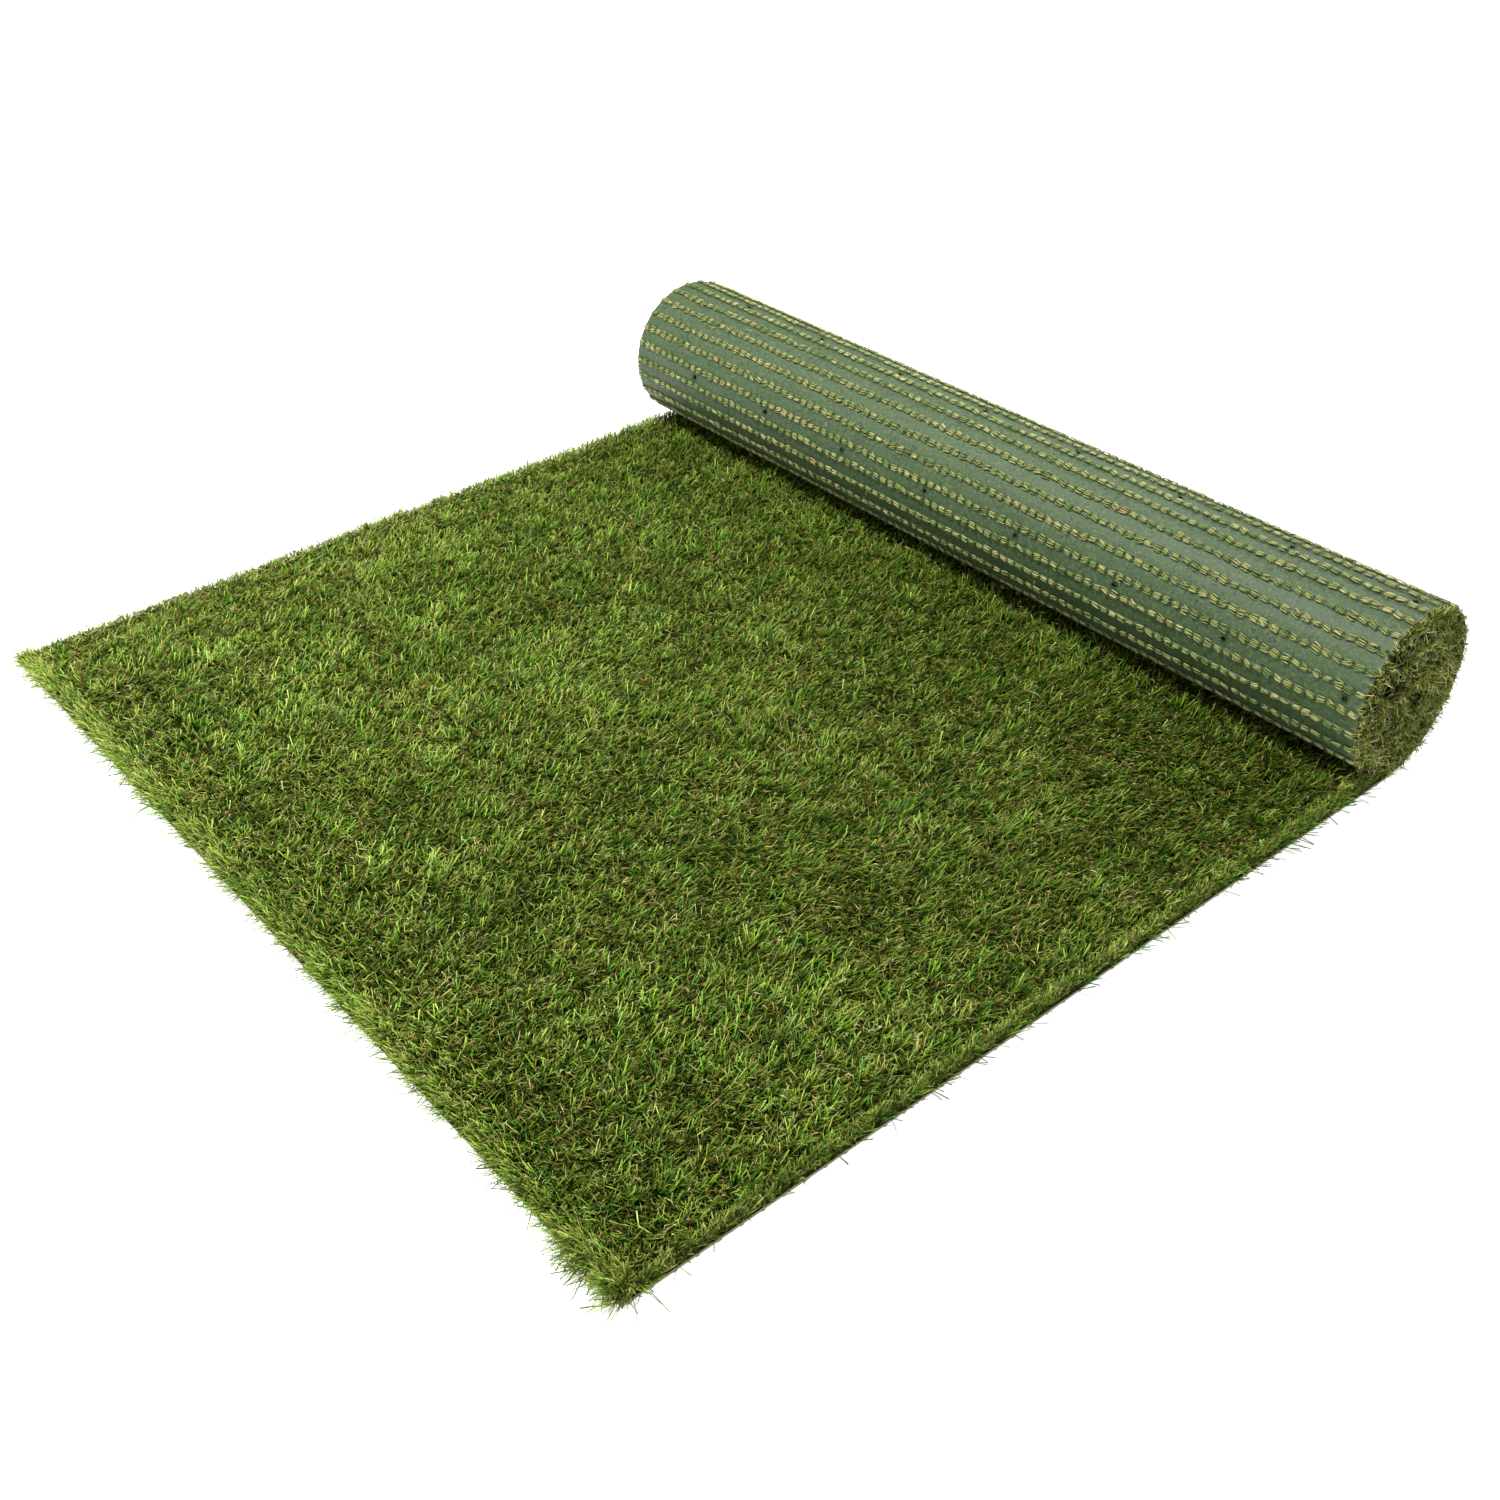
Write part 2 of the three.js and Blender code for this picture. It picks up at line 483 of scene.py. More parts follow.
        # The cut face is painted light below 4 to 7 mm, on the laid sheet's edge, and dark higher up.
        cut = paint.mix(z.band(4 * MM, 7 * MM), self.cut_edge_painted_light, self.cut)
        colour = paint.mix(cut_face, colour, cut)
        height = grain + paint.noise(at, 110.0, 2.0) * 1.5
        roughness = (0.5 + grain * 0.25).math("MAXIMUM", cut_face).math("MAXIMUM", inside)
        paint.set(Base_Color=colour, Roughness=roughness, Normal=paint.bump(height, 0.4 * MM, 0.9))
        return paint.material


@dataclass(frozen=True)
class YarnFinish:
    """Fibres whose colour follows their tone, with painted shade that darkens them towards the root and a
    painted highlight that pales them towards the tip.
    """

    name: str
    stops: tuple[tuple[float, Colour], ...]
    # root is the colour of the painted shade at a fibre's foot and tip that of the painted highlight at its
    # end; the shares say how much of each is painted.
    root: Colour
    tip: Colour
    root_share: float = 0.92
    tip_share: float = 0.4
    roughness: float = 0.42

    def make(self) -> bpy.types.Material:
        """Makes the material, which reads nothing but the fibre's own map.

        Returns:
            The material.
        """
        paint = Paint(self.name + "_yarn")
        fibre = paint.value("ShaderNodeUVMap", {"uv_map": BAKE_MAP}, {})
        tone, height, _ = paint.split(fibre)
        colour = paint.value("ShaderNodeValToRGB", {"stops": self.stops}, {0: tone})
        # Painted shade over the lower part of each fibre, and a painted highlight towards its tip.
        low = 1 - height.band(0.0, 0.65)
        colour = paint.mix(low * self.root_share, colour, self.root)
        colour = paint.mix(height.band(0.6, 1.0) * self.tip_share, colour, self.tip)
        paint.set(Base_Color=colour, Roughness=self.roughness + 0.15 * low, Specular_IOR_Level=0.06)
        return paint.material


@dataclass(frozen=True)
class ThatchShadeFinish:
    """The tangle at the foot of the pile: thatch strands that cross over a near-black ground of painted
    shade.
    """

    # The lowest stops are near-black painted shade; the higher ones are the colours of the thatch strands.
    stops: tuple[tuple[float, Colour], ...] = shades(
        (0.5, 8, 13, 1), (0.57, 30, 44, 8), (0.64, 66, 80, 20), (0.74, 126, 120, 54)
    )

    def make(self) -> bpy.types.Material:
        """Makes the material.

        Returns:
            The material.
        """
        paint = Paint("thatch_bed")
        at = paint.place()
        strands = self._strands(paint, at, math.radians(20))
        for turn in (math.radians(75), math.radians(-40)):
            strands = strands.math("MAXIMUM", self._strands(paint, at, turn))
        colour = paint.value("ShaderNodeValToRGB", {"stops": self.stops}, {0: strands})
        paint.set(Base_Color=colour, Roughness=0.9, Specular_IOR_Level=0.05)
        paint.set(Normal=paint.bump(strands, 4 * MM))
        return paint.material

    @staticmethod
    def _strands(paint: Paint, at: Value, turn: float) -> Value:
        """Noise drawn out into strands that run in one direction.

        Args:
            paint: The material.
            at: Where on the surface.
            turn: The direction, in radians.

        Returns:
            The noise.
        """
        inputs = {"Vector": at, "Rotation": (0.0, 0.0, turn), "Scale": (1.0, 4.0, 2.0)}
        drawn_out = paint.value("ShaderNodeMapping", {"vector_type": "TEXTURE"}, inputs)
        return paint.noise(drawn_out, 700.0, 1.0)


class Palette(Enum):
    """The yarns of the sheet: the colours each comes in, then the painted shade at its roots and the painted
    highlight at its tips.
    """

    BRIGHT = YarnFinish(
        "bright_green",
        shades((0.0, 60, 122, 12), (0.35, 98, 162, 24), (0.7, 144, 194, 54), (1.0, 198, 224, 114)),
        srgb(22, 48, 3),
        srgb(202, 222, 118),
    )
    DEEP = YarnFinish(
        "deep_green",
        shades((0.0, 22, 60, 8), (0.4, 46, 96, 16), (0.75, 78, 128, 40), (1.0, 122, 166, 92)),
        srgb(9, 24, 2),
        srgb(118, 152, 62),
    )
    OLIVE = YarnFinish(
        "olive",
        shades((0.0, 62, 84, 10), (0.4, 102, 126, 26), (0.75, 146, 162, 56), (1.0, 192, 200, 102)),
        srgb(22, 32, 3),
        srgb(194, 202, 108),
    )
    TAN = YarnFinish(
        "tan_thatch",
        shades((0.0, 84, 62, 22), (0.4, 132, 104, 46), (0.75, 170, 140, 76), (1.0, 212, 178, 114)),
        srgb(36, 28, 6),
        srgb(206, 180, 116),
        roughness=0.55,
    )
    STRAW = YarnFinish(
        "straw_thatch",
        shades((0.0, 126, 130, 50), (0.4, 168, 168, 82), (0.75, 206, 202, 122), (1.0, 238, 230, 174)),
        srgb(50, 52, 12),
        srgb(232, 226, 160),
        roughness=0.5,
    )
    STITCH = YarnFinish(
        "stitch",
        shades(
            (0.0, 102, 132, 80),
            (0.3, 131, 147, 88),
            (0.6, 164, 168, 106),
            (0.85, 198, 194, 138),
            (1.0, 168, 134, 84),
        ),
        srgb(66, 78, 34),
        srgb(66, 78, 34),
        root_share=0.6,
        tip_share=0.0,
        roughness=0.5,
    )


# Fibres


class FibreKind(Enum):
    """How many rings a fibre has between its two ends. A ribbon has none, and is cut square at both ends."""

    RIBBON = 0
    BLADE = 1
    STRAND = 2


class FibrePattern:
    """The closed form that every fibre of a kind repeats. All but the ribbon have pointed ends."""

    twist: float = math.radians(50)  # of a ribbon, from its root to its tip

    def __init__(self, kind: FibreKind) -> None:
        """Models the form once, standing on its root, one high and one broad.

        Args:
            kind: How many rings it has.
        """
        bm = bmesh.new()
        if kind is FibreKind.RIBBON:
            self._model_ribbon(bm)
        else:
            self._model_tapered(bm, kind.value)
        bmesh.ops.triangulate(bm, faces=bm.faces)
        bmesh.ops.recalc_face_normals(bm, faces=bm.faces)
        bm.verts.index_update()
        self.side, self.depth, self.share = np.array([v.co for v in bm.verts]).T
        self.faces = np.array([[v.index for v in face.verts] for face in bm.faces])
        bm.free()

    def _model_ribbon(self, bm: bmesh.types.BMesh) -> None:
        """Models a flat, twisted strip that is cut square at both ends."""
        root, tip = (self._cut_edge(bm, height, height * self.twist) for height in (0.0, 1.0))
        bmesh.ops.convex_hull(bm, input=[*root, *tip])

    @staticmethod
    def _model_tapered(bm: bmesh.types.BMesh, rings: int) -> None:
        """Models a three-sided form that is drawn to a point at both ends.

        Args:
            bm: The bmesh to model in.
            rings: How many rings it has between its ends.
        """
        bmesh.ops.create_circle(bm, segments=3, radius=0.5, cap_ends=True)
        root, end = list(bm.verts), bm.faces[:][0]
        for ring in range(rings + 1):
            grown = bmesh.ops.extrude_face_region(bm, geom=[end], use_keep_orig=True)["geom"]
            if ring:
                bmesh.ops.delete(bm, geom=[end], context="FACES_ONLY")
            crown = [part for part in grown if isinstance(part, bmesh.types.BMVert)]
            end = next(part for part in grown if isinstance(part, bmesh.types.BMFace))
            bmesh.ops.translate(bm, verts=crown, vec=(0.0, 0.0, 1.0))
        bmesh.ops.scale(bm, verts=bm.verts, vec=(1.0, 1.0, 1.0 / (rings + 1)))
        bmesh.ops.pointmerge(bm, verts=crown, merge_co=(0.0, 0.0, 1.0))
        bmesh.ops.pointmerge(bm, verts=root, merge_co=(0.0, 0.0, 0.0))

    @staticmethod
    def _cut_edge(bm: bmesh.types.BMesh, height: float, turn: float) -> list[bmesh.types.BMVert]:
        """The two corners of a ribbon's cut end at a height."""
        half = (0.5 * math.cos(turn), 0.5 * math.sin(turn))
        return [bm.verts.new((sign * half[0], sign * half[1], height)) for sign in (-1.0, 1.0)]


def unit(vectors: np.ndarray) -> np.ndarray:
    """Vectors of the same directions, one long."""
    return vectors / (np.linalg.norm(vectors, axis=-1, keepdims=True) + 1e-12)


@dataclass
class Fibres:
    """Fibres of one yarn, gathered from every place they grow in and then made into one mesh."""

    name: str
    yarn: Palette
    kind: FibreKind = FibreKind.RIBBON
    flatness: float = 1.0
    parts: list[tuple[np.ndarray, ...]] = field(default_factory=list)

    def add(
        self, lines: np.ndarray, sides: np.ndarray, widths: np.ndarray, tones: np.ndarray, foot: float = 0.0
    ) -> None:
        """Adds fibres.

        Args:
            lines: Their middle lines, as fibres by knots by three.
            sides: The way each is broad, as fibres by three.
            widths: How broad each is.
            tones: Where each lies on its yarn's range of colours, 0 to 1.
            foot: How high up its yarn's painted root shade each starts, 0 to 1.
        """
        self.parts.append((lines, sides, widths, tones, np.full(len(lines), foot)))

    def _corners(self, pattern: FibrePattern) -> tuple[np.ndarray, np.ndarray]:
        """Where every corner of every fibre comes, and what its map says there.

        Args:
            pattern: The form that each fibre repeats.

        Returns:
            The corners, as fibres by corners by three, and the tone and height of each, by two.
        """
        lines, sides, widths, tones, feet = (np.concatenate(column) for column in zip(*self.parts))
        along = unit(lines[:, -1] - lines[:, 0])
        depths = unit(np.cross(along, sides))
        bend = lines[:, 1] - (lines[:, 0] + lines[:, -1]) / 2
        depths *= np.where(np.sum(bend * depths, axis=1, keepdims=True) < 0, -1.0, 1.0)
        sides = np.cross(depths, along)
        knot = pattern.share * (lines.shape[1] - 1)
        below = np.minimum(knot.astype(int), lines.shape[1] - 2)
        part = (knot - below)[None, :, None]
        middle = lines[:, below] * (1 - part) + lines[:, below + 1] * part
        across = sides[:, None] * pattern.side[None, :, None]
        across += depths[:, None] * pattern.depth[None, :, None] * self.flatness
        tone = tones[:, None] * 0.96 + 0.02 + pattern.side[None] * 0.02
        height = feet[:, None] + (1 - feet[:, None]) * pattern.share[None]
        return middle + across * widths[:, None, None], np.stack([tone, height * 0.98 + 0.01], 2)

    def build(self) -> bpy.types.Object:
        """Makes one mesh of all the fibres, with a map of their tone across and their height up.

        Returns:
            The object.
        """
        pattern = FibrePattern(self.kind)
        corners, looks = self._corners(pattern)
        count, each = corners.shape[:2]
        faces = (pattern.faces[None] + np.arange(count)[:, None, None] * each).reshape(-1, 3)
        mesh = bpy.data.meshes.new(self.name)
        mesh.vertices.add(count * each)
        mesh.vertices.foreach_set("co", corners.astype(np.float32).ravel())
        mesh.loops.add(faces.size)
        mesh.loops.foreach_set("vertex_index", faces.astype(np.int32).ravel())
        mesh.polygons.add(len(faces))
        mesh.polygons.foreach_set("loop_start", np.arange(0, faces.size, 3, dtype=np.int32))
        mesh.polygons.foreach_set("loop_total", np.full(len(faces), 3, dtype=np.int32))
        layer = mesh.uv_layers.new(name=BAKE_MAP)
        layer.data.foreach_set("uv", looks.reshape(-1, 2)[faces.ravel()].astype(np.float32).ravel())
        mesh.update(calc_edges=True)
        mesh.materials.append(finish_of(self.yarn))
        LOG.info("%s: %d fibres, %d triangles", self.name, count, len(faces))
        return link(self.name, mesh)


FINISHED: dict[str, bpy.types.Material] = {}


def finish_of(yarn: Palette) -> bpy.types.Material:
    """A yarn's material, made the first time that it is asked for.

    Args:
        yarn: The yarn.

    Returns:
        The material.
    """
    if yarn.name not in FINISHED:
        FINISHED[yarn.name] = yarn.value.make()
    return FINISHED[yarn.name]


def link(name: str, mesh: bpy.types.Mesh) -> bpy.types.Object:
    """Puts a mesh in the scene as an object at the origin.

    Args:
        name: The piece's name.
        mesh: Its mesh.

    Returns:
        The object.
    """
    made = bpy.data.objects.new(name, mesh)
    bpy.context.scene.collection.objects.link(made)
    return made


def heading(azimuth: np.ndarray, lean: np.ndarray) -> np.ndarray:
    """Directions that lean from upright by an angle, towards an azimuth counted from +X to +Y."""
    flat = np.sin(lean)
    return np.stack([flat * np.cos(azimuth), flat * np.sin(azimuth), np.cos(lean)], -1)


# Sub-assemblies


@dataclass
class Backing:
    """The latex-coated carrier, which the CAD model holds as it is."""

    sheet: Sheet

    def dress(self) -> None:
        """Gives the CAD node its latex."""
        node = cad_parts["backing"]
        node.data.materials.clear()
        node.data.materials.append(LatexFinish(self.sheet).make())
        LOG.info("backing: dressed")


@dataclass
class StitchRows:
    """The yarn of the stitch rows on the outer turn: a chain of small bundles along each row."""

    sheet: Sheet
    rng: np.random.Generator
    strands: int = 4
    strand_width: float = 1.7 * MM
    spread: float = 2.4 * MM
    rise: float = 2.9 * MM
    last_turn: float = math.radians(318)

    def on_roll(
        self, x: np.ndarray, angle: np.ndarray, sideways: np.ndarray, height: np.ndarray
    ) -> np.ndarray:
        """Points on or over the outer turn.

        Args:
            x: Places across the sheet.
            angle: Angles of the winding.
            sideways: How far from there along the sheet.
            height: How far outside the backing.

        Returns:
            The points.
        """
        y, z = self.sheet.point(angle + sideways / self.sheet.radius(angle), height)
        return np.stack([x, y, np.maximum(z, 0.9 * MM)], -1)

    def _bundles(self) -> Fibres:
        """The bundles along every row, from the floor up the back, over the top and down the front.

        Returns:
            The fibres.
        """
        sheet, rng = self.sheet, self.rng
        rows = np.arange(sheet.first_row, sheet.length, sheet.row_gauge) - sheet.laid
        turns = sheet.angle_at(rows[rows > 0])
        turns = turns[turns < self.last_turn]
        beads = (np.arange(sheet.beads) + 0.5) / sheet.beads * sheet.width - sheet.width / 2
        order = np.linspace(-1, 1, self.strands)
        angle, x, strand = (grid.ravel() for grid in np.meshgrid(turns, beads, order, indexing="ij"))
        count = len(x)
        bead = np.arange(count) // self.strands
        row = bead // sheet.beads
        slant, swell, slip, length = rng.normal(0, 1, (4, bead[-1] + 1))[:, bead]
        wander = Noise(rng, 0.04)(x, row * 7.3) * 0.6 * MM
        across = strand * self.spread * (1 + 0.2 * swell)
        half = sheet.width / sheet.beads / 2 * (1 + 0.06 * length)
        knots = []
        for share, arch, fan in ((-1.06, 0.35, 0.55), (-0.5, 1.0, 1.0), (0.5, 1.0, 1.0), (1.06, 0.35, 0.55)):
            stray = rng.normal(0, 0.42 * MM, (3, count))
            sideways = across * fan + (slant * 0.7 + 0.3) * share * MM + wander + stray[0]
            height = np.maximum(self.rise * arch - 0.3 * np.abs(across) * arch + stray[1] * 0.7, 0.5 * MM)
            along = x + slip * 0.6 * MM + half * share + stray[2] * 1.4
            along = np.clip(along, -sheet.width / 2, sheet.width / 2)
            knots.append(self.on_roll(along, angle, sideways, height))
        kind = rng.uniform(0, 1, bead[-1] + 1)[bead]
        tones = 0.5 + 0.1 * Noise(rng, 0.03)(x, row * 3.1) + rng.normal(0, 0.17, count)
        tones = np.where(kind < 0.13, tones - 0.36, np.where(kind > 0.996, 0.97, np.clip(tones, 0.18, 0.88)))
        sides = np.stack([np.zeros(count), np.cos(angle), np.sin(angle)], 1)
        bundles = Fibres("stitch_rows", Palette.STITCH, FibreKind.STRAND, flatness=0.7)
        widths = self.strand_width * rng.uniform(0.7, 1.2, count)
        bundles.add(np.stack(knots, 1), sides, widths, np.clip(tones, 0, 1))
        return bundles

    def _hole_tufts(self, each: int = 6) -> Fibres:
        """The dark tuft that shows in each drainage hole of the outer turn.

        Args:
            each: Threads in one tuft.

        Returns:
            The fibres.
        """
        sheet = self.sheet
        hole_rows = np.arange(sheet.first_hole_row, sheet.length, sheet.hole_row_pitch) - sheet.laid
        hole_turns = sheet.angle_at(hole_rows[hole_rows > 0])
        hole_turns = hole_turns[hole_turns < self.last_turn]
        across = np.arange(sheet.first_hole, sheet.width, sheet.hole_pitch) - sheet.width / 2
        angle, x = (np.repeat(grid.ravel(), each) for grid in np.meshgrid(hole_turns, across, indexing="ij"))
        tufts = Fibres("drain_hole_tufts", Palette.DEEP, FibreKind.STRAND, flatness=0.7)
        self._scatter_threads(tufts, x, angle, self.rng.uniform(2.5, 6, len(x)) * MM, 0.1)
        return tufts

    def _loose_threads(self, count: int = 26) -> Fibres:
        """Threads that hang loose here and there on the outer turn.

        Args:
            count: How many.

        Returns:
            The fibres.
        """
        rng = self.rng
        x = rng.uniform(-0.48, 0.48, count) * self.sheet.width
        angle = rng.uniform(0.3, self.last_turn, count)
        threads = Fibres("loose_threads", Palette.STITCH, FibreKind.STRAND, flatness=0.7)
        self._scatter_threads(threads, x, angle, rng.uniform(8, 18, count) * MM, 0.75)
        return threads

    def _scatter_threads(
        self, threads: Fibres, x: np.ndarray, angle: np.ndarray, reach: np.ndarray, tone: float
    ) -> None:
        """Lays crooked threads on the outer turn, each in a direction of its own.

        Args:
            threads: The piece that they are part of.
            x: Where each starts, across the sheet.
            angle: Where each starts, as an angle of the winding.
            reach: How far each goes.
            tone: Where their colours start in their yarn's range.
        """
        rng, count = self.rng, len(x)
        spin = rng.uniform(0, 2 * math.pi, count)
        knots = []
        for share, height in ((0.0, 0.0), (0.45, 1.6), (0.8, 2.2), (1.0, 0.8)):
            spin = spin + rng.normal(0, 0.5, count)
            lift = (height + rng.uniform(0.2, 0.8, count)) * MM
            along, sideways = reach * share * np.cos(spin), reach * share * np.sin(spin)
            knots.append(self.on_roll(x + along, angle, sideways, lift))
        sides = np.stack([np.zeros(count), np.cos(angle), np.sin(angle)], 1)
        tones = tone + rng.uniform(0, 0.2, count)
        threads.add(np.stack(knots, 1), sides, rng.uniform(0.6, 1.0, count) * MM, tones)

    def build(self) -> list[bpy.types.Object]:
        """Lays the bundles, the tufts in the holes and the loose threads.

        Returns:
            The three pieces.
        """
        return [self._bundles().build(), self._hole_tufts().build(), self._loose_threads().build()]


def vertex_place(vert: bmesh.types.BMVert) -> Vector:
    """Where a vertex is."""
    return vert.co


def to_mesh(bm: bmesh.types.BMesh, name: str) -> bpy.types.Mesh:
    """Turns a bmesh into a mesh and lets go of it.

    An extrusion leaves its parts in an order that changes from run to run, so they are sorted by place.

    Args:
        bm: The bmesh.
        name: The mesh's name.

    Returns:
        The mesh.
    """
    for parts, place in ((bm.verts, vertex_place), (bm.faces, bmesh.types.BMFace.calc_center_median)):
        ranked = sorted(parts, key=lambda part: tuple(place(part)))
        rank = {part: number for number, part in enumerate(ranked)}
        parts.sort(key=rank.get)
    mesh = bpy.data.meshes.new(name)
    bm.to_mesh(mesh)
    bm.free()
    return mesh


@dataclass
class ThatchShadeBed:
    """The tangle under the blades, dark with painted shade: a bumpy layer on the laid part, and what fills
    the turns.
    """

    sheet: Sheet
    rng: np.random.Generator
    height: float = 15 * MM
    bump: float = 2.2 * MM
    cell: float = 6.5 * MM
    edge: float = 2 * MM
    end_recess: float = 6 * MM
    clearance: float = 0.3 * MM

    def __post_init__(self) -> None:
        """Draws the bumps."""
        self.bumps = Noise(self.rng, 14 * MM)
        self.small_bumps = Noise(self.rng, 5 * MM)

    def sunk(self, x: np.ndarray, y: np.ndarray) -> np.ndarray:
        """How flat the pile is at a place, 0 to 1: along the left edge, and most at its front corner."""
        along = np.clip(1.1 - (y - self.sheet.cut_end) / self.sheet.laid, 0.35, 1.0)
        return np.clip((-0.38 - x) / 0.11, 0, 1) * along

    def top(self, x: np.ndarray, y: np.ndarray) -> np.ndarray:
        """Height of the bed's top over the floor, on the laid part.

        Args:
            x: Places across the sheet.
            y: Places along it.

        Returns:
            The heights, which round off towards the sheet's edges and stay under the roll.
        """
        sheet = self.sheet
        near_edge = np.minimum(sheet.width / 2 - np.abs(x), y - sheet.cut_end) / (10 * MM)
        rounding = np.sqrt(np.clip(near_edge, 0.12, 1.0))
        bumps = self.bumps(x, y) + 0.7 * self.small_bumps(x, y)
        height = (self.height + bumps * self.bump) * (1 - 0.5 * self.sunk(x, y))
        free = sheet.top_of_backing + height * rounding
        return np.clip(free, sheet.top_of_backing + 2 * MM, sheet.room(y) - 1.5 * MM)

    def build(self) -> list[bpy.types.Object]:
        """Makes both parts of the bed.

        Returns:
            The two pieces.
        """
        made = [link("laid_thatch_bed", self._laid()), link("rolled_thatch_bed", self._rolled())]
        finish = ThatchShadeFinish().make()
        for piece in made:
            piece.data.materials.append(finish)
            LOG.info("%s: %d faces", piece.name, len(piece.data.polygons))
        return made

    def _laid(self) -> bpy.types.Mesh:
        """The layer on the laid part, as a slab with a bumpy top.

        Returns:
            The mesh.
        """
        sheet = self.sheet
        width, length = sheet.width - 2 * self.edge, sheet.laid - self.edge
        bm = bmesh.new()
        segments = {"x_segments": round(width / self.cell), "y_segments": round(length / self.cell)}
        bmesh.ops.create_grid(bm, size=0.5, **segments)
        bmesh.ops.scale(bm, verts=bm.verts, vec=(width, length, 1.0))
        foot = sheet.top_of_backing + self.clearance
        middle = (0.0, sheet.cut_end + self.edge + length / 2, foot)
        bmesh.ops.translate(bm, verts=bm.verts, vec=middle)
        underside = bm.faces[:]
        grown = bmesh.ops.extrude_face_region(bm, geom=underside, use_keep_orig=True)["geom"]
        top = [part for part in grown if isinstance(part, bmesh.types.BMVert)]
        bmesh.ops.dissolve_faces(bm, faces=underside)
        place = np.array([v.co for v in top])
        for vert, z in zip(top, self.top(place[:, 0], place[:, 1])):
            vert.co.z = z
        bmesh.ops.recalc_face_normals(bm, faces=bm.faces)
        return to_mesh(bm, "laid_thatch_bed")

    def _rolled(self) -> bpy.types.Mesh:
        """What fills the space between the turns, a little short of both ends of the roll.

        Returns:
            The mesh.
        """
        sheet, gap = self.sheet, 0.4 * MM
        angles = np.linspace(0.02, sheet.last_angle, 180)
        bm = bmesh.new()
        half = sheet.width / 2 - self.end_recess
        rims = []
        for offset in (-sheet.backing - gap, gap - sheet.pile_reach(angles)):
            y, z = sheet.point(angles, offset)
            rims.append([bm.verts.new((-half, *place)) for place in zip(y, z)])
        for i in range(len(angles) - 1):
            bm.faces.new((rims[0][i], rims[0][i + 1], rims[1][i + 1], rims[1][i]))
        grown = bmesh.ops.extrude_face_region(bm, geom=bm.faces[:], use_keep_orig=True)["geom"]
        moved = [part for part in grown if isinstance(part, bmesh.types.BMVert)]
        bmesh.ops.translate(bm, verts=moved, vec=(2 * half, 0.0, 0.0))
        bmesh.ops.recalc_face_normals(bm, faces=bm.faces)
        return to_mesh(bm, "rolled_thatch_bed")


@dataclass(frozen=True)
class Blend:
    """The yarns that grow in a place, with each one's share and how that changes with the patch value.

    foot is how high up the painted shade at its root a fibre starts to show, 0 to 1, spread is how much the
    tones of single fibres differ, and curled says whether they are curls and not straight blades.
    """

    bright: Range = (0.0, 0.0)
    deep: Range = (0.0, 0.0)
    olive: Range = (0.0, 0.0)
    straw: Range = (0.0, 0.0)
    tan: Range = (0.0, 0.0)
    foot: float = 0.0
    spread: float = 0.3
    curled: bool = True

    @property
    def shares(self) -> dict[Palette, tuple[float, float]]:
        """Share and slope of each yarn that grows there."""
        given = zip(Palette, (self.bright, self.deep, self.olive, self.tan, self.straw))
        return {yarn: share for yarn, share in given if share[0] > 0}


class Growth(Enum):
    """Where a pile fibre grows, and what yarns grow there."""

    LAWN_BLADE = Blend(bright=(0.3, 0.18), deep=(0.38, -0.14), olive=(0.32, 0.0), curled=False)
    LAWN_CURL = Blend(olive=(0.32, -0.05), straw=(0.42, 0.06), tan=(0.26, 0.05), foot=0.3)
    SIDE = Blend(bright=(0.2, 0.05), deep=(0.4, 0.0), olive=(0.4, 0.0), foot=0.35, curled=False)
    SIDE_CURL = Blend(olive=(0.4, 0.0), straw=(0.2, 0.0), tan=(0.4, 0.05), foot=0.4)
    FRONT = Blend(
        bright=(0.27, 0.1), deep=(0.13, -0.05), olive=(0.6, 0.0), foot=0.15, spread=0.36, curled=False
    )
    FRONT_CURL = Blend(olive=(0.32, 0.0), straw=(0.48, 0.05), tan=(0.2, 0.0), foot=0.3)
    ROLL_END = Blend(deep=(0.2, -0.1), olive=(0.4, 0.0), straw=(0.44, 0.15), foot=0.08, spread=0.5)
    ROLL_RIM = Blend(deep=(0.15, 0.0), olive=(0.35, 0.0), straw=(0.5, 0.0), foot=0.45, spread=0.4)


